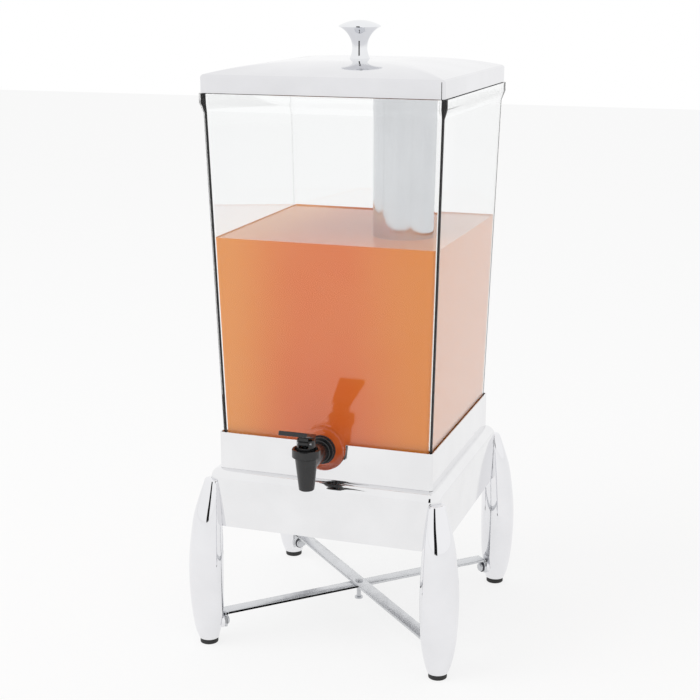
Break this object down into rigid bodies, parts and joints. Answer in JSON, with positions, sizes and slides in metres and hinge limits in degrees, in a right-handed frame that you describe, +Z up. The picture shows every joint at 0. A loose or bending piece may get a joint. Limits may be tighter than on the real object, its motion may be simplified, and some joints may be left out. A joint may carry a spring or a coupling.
{
  "type": "beverage dispenser",
  "caption": "Square clear drink dispenser with a polished lift-off lid and knob, an ice tube and a lever tap, on a polished stand with bowed legs and a crossed brace.",
  "frame": {"origin": "on the surface that the dispenser stands on, in the middle of its feet", "axes": "+Z up, -Y towards the user and the tap, +X to the right of someone facing the tap"},
  "size_m": [0.2762, 0.3286, 0.6078],
  "materials": {
    "polished_steel": "mirror-polished stainless sheet",
    "polished_lid": "polished stainless pressing",
    "leg_chrome": "bright chrome over a casting",
    "knob_chrome": "bright chrome",
    "tube_steel": "polished stainless tube",
    "brushed_bar": "plain rolled bar",
    "plain_steel": "zinc-plated",
    "dark_screw": "blackened",
    "soft_rubber": "matt black",
    "pale_silicone": "translucent silicone",
    "clear_plastic": "clear moulded plastic",
    "drink": "cloudy orange drink",
    "black_plastic": "semi-gloss black moulding"
  },
  "bodies": {
    "stand": {"stand_apron": "polished_steel", "tank_collar": "polished_steel", "collar_rivets": "plain_steel", "seat_pads": "soft_rubber", "leg_screws": "plain_steel", "brace_lower_bar": "brushed_bar", "brace_upper_bar": "brushed_bar", "brace_rivet": "dark_screw", "brace_screws": "plain_steel", "brace_washers": "soft_rubber", "leg_front_right": "leg_chrome", "leg_back_right": "leg_chrome", "leg_back_left": "leg_chrome", "leg_front_left": "leg_chrome", "foot_front_right": "soft_rubber", "foot_back_right": "soft_rubber", "foot_back_left": "soft_rubber", "foot_front_left": "soft_rubber"},
    "tank": {"tank": "clear_plastic", "drink": "drink", "tap_body": "black_plastic", "tap_washer": "soft_rubber", "shank_washer": "soft_rubber", "shank_nut": "black_plastic", "tap_bonnet": "black_plastic", "lever_pin": "plain_steel", "valve_spring": "plain_steel"},
    "lid": {"lid_cover": "polished_lid", "lid_knob": "knob_chrome", "knob_washer": "plain_steel", "knob_screw": "plain_steel"},
    "ice_tube": {"ice_tube": "tube_steel", "ice_tube_plug": "black_plastic"},
    "tap_lever": {"tap_lever": "black_plastic"},
    "tap_valve": {"valve_stem": "black_plastic", "stem_pin": "plain_steel", "valve_cup": "pale_silicone"}
  },
  "joints": [
    {"name": "tank_lift", "type": "slide", "parent": "stand", "child": "tank", "axis": [0, 0, 1], "range_m": [0, 0.12]},
    {"name": "lid_lift", "type": "slide", "parent": "tank", "child": "lid", "axis": [0, 0, 1], "range_m": [0, 0.15]},
    {"name": "ice_tube_lift", "type": "slide", "parent": "tank", "child": "ice_tube", "axis": [0, 0, 1], "range_m": [0, 0.012]},
    {"name": "lever_press", "type": "hinge", "parent": "tank", "child": "tap_lever", "pos_m": [0, -0.159, 0.2345], "axis": [1, 0, 0], "range_deg": [0, 24], "stiffness_Nm_per_rad": 0.03, "springref_deg": -11.46},
    {"name": "valve_lift", "type": "slide", "parent": "tank", "child": "tap_valve", "axis": [0, 0, 1], "range_m": [0, 0.0022], "deforming": ["valve_spring"]}
  ],
  "couplings": [
    {"joint": "valve_lift", "follows": "lever_press", "m_per_rad": 0.005}
  ]
}
